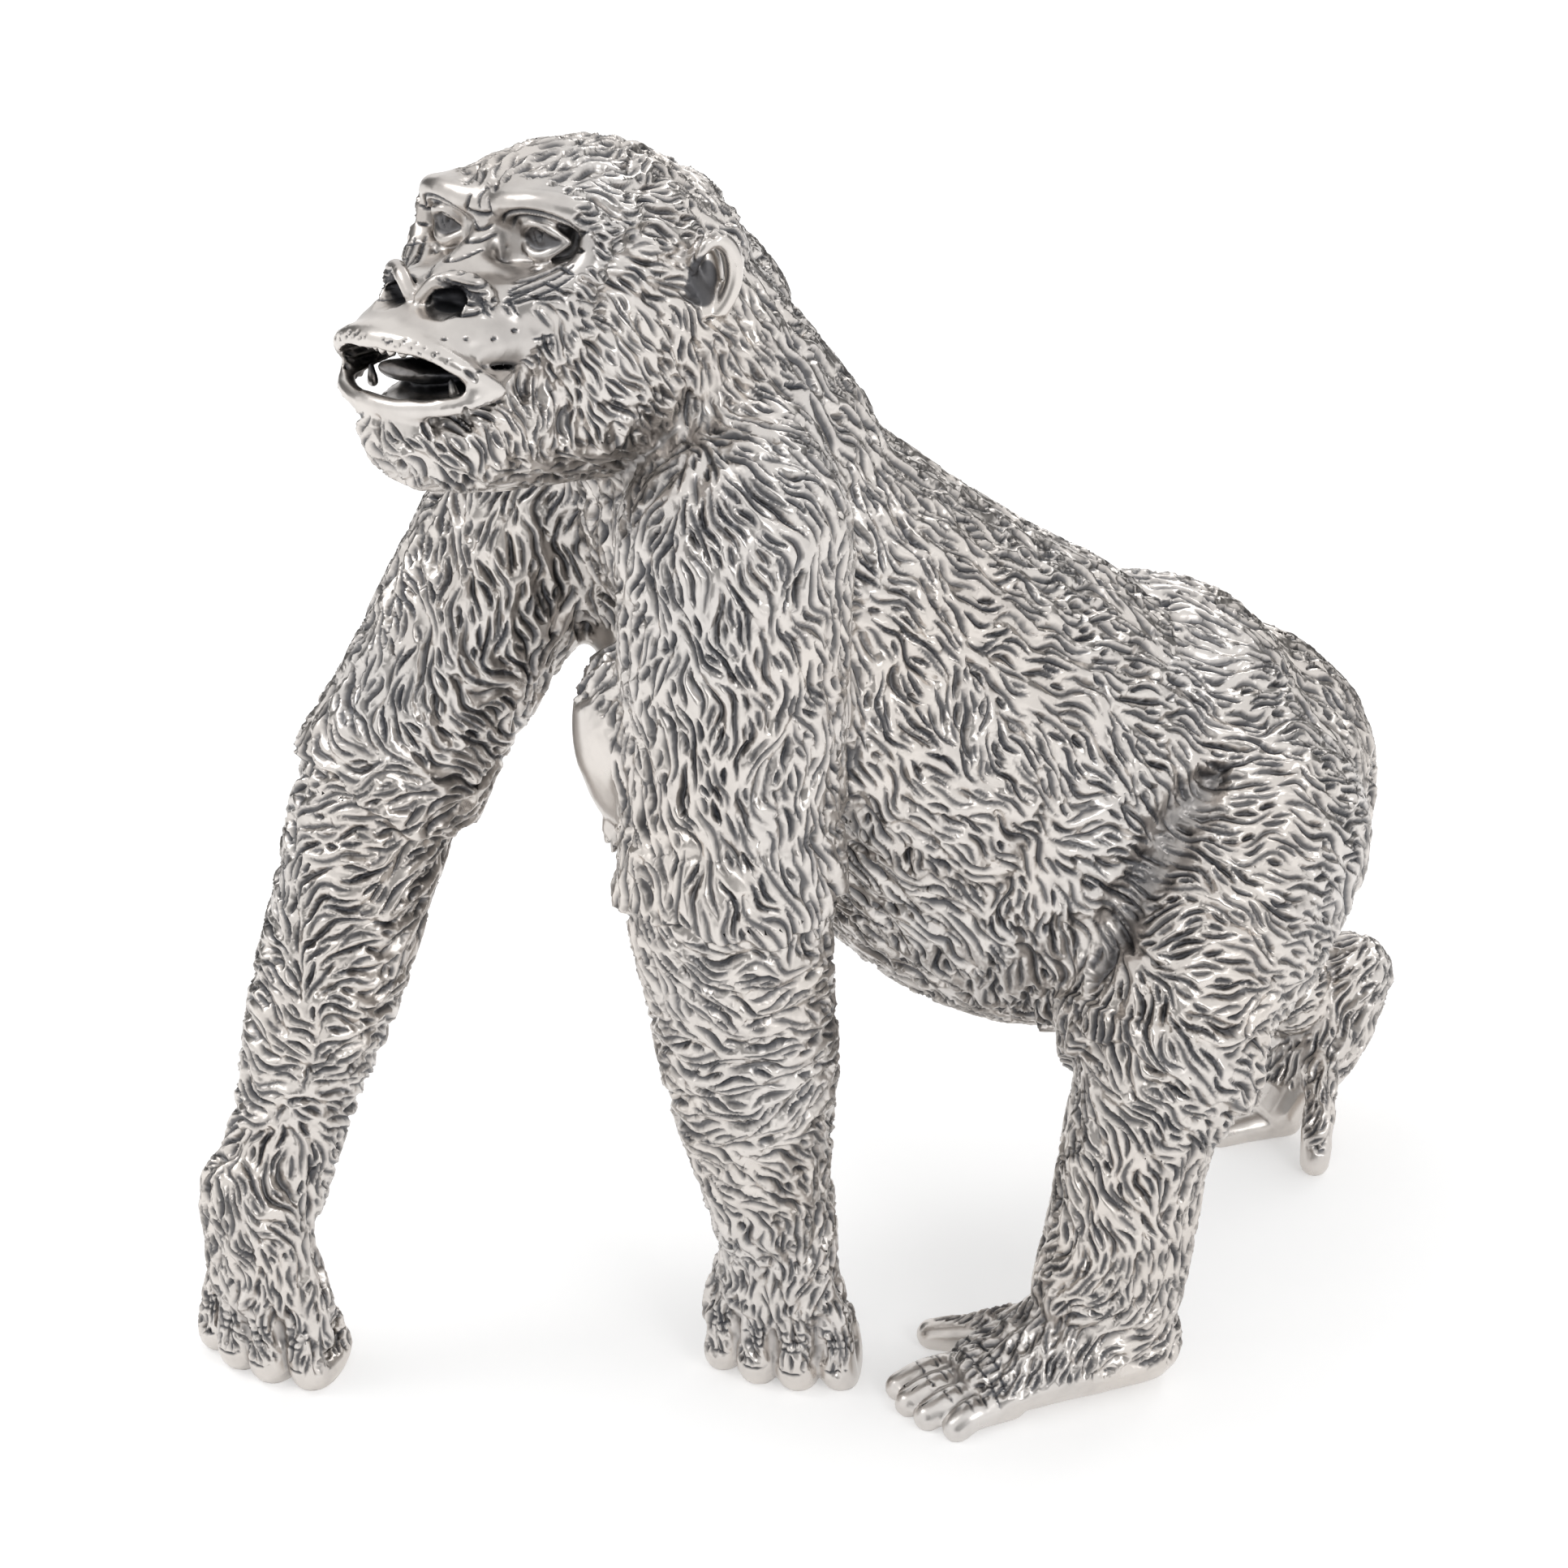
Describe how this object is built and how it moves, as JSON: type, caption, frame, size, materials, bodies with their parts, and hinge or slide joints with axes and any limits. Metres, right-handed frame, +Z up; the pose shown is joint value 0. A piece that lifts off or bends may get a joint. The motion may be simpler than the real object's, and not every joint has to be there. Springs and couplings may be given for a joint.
{
  "type": "gorilla figurine",
  "caption": "Cast silver figurine of a gorilla walking on its knuckles, head turned and mouth open, with its coat carved all over; it stands free on its hands and feet.",
  "frame": {"origin": "on the ground, under the middle of the bounding box", "axes": "+Z up, +Y towards its back, so that it walks towards -Y, and +X to its left"},
  "size_m": [0.0542, 0.1234, 0.1173],
  "materials": {
    "silver": "cast silver, polished on the raised hair and skin over a dark blue-black patina in the carving"
  },
  "bodies": {
    "root": {"gorilla": "silver"}
  },
  "joints": []
}
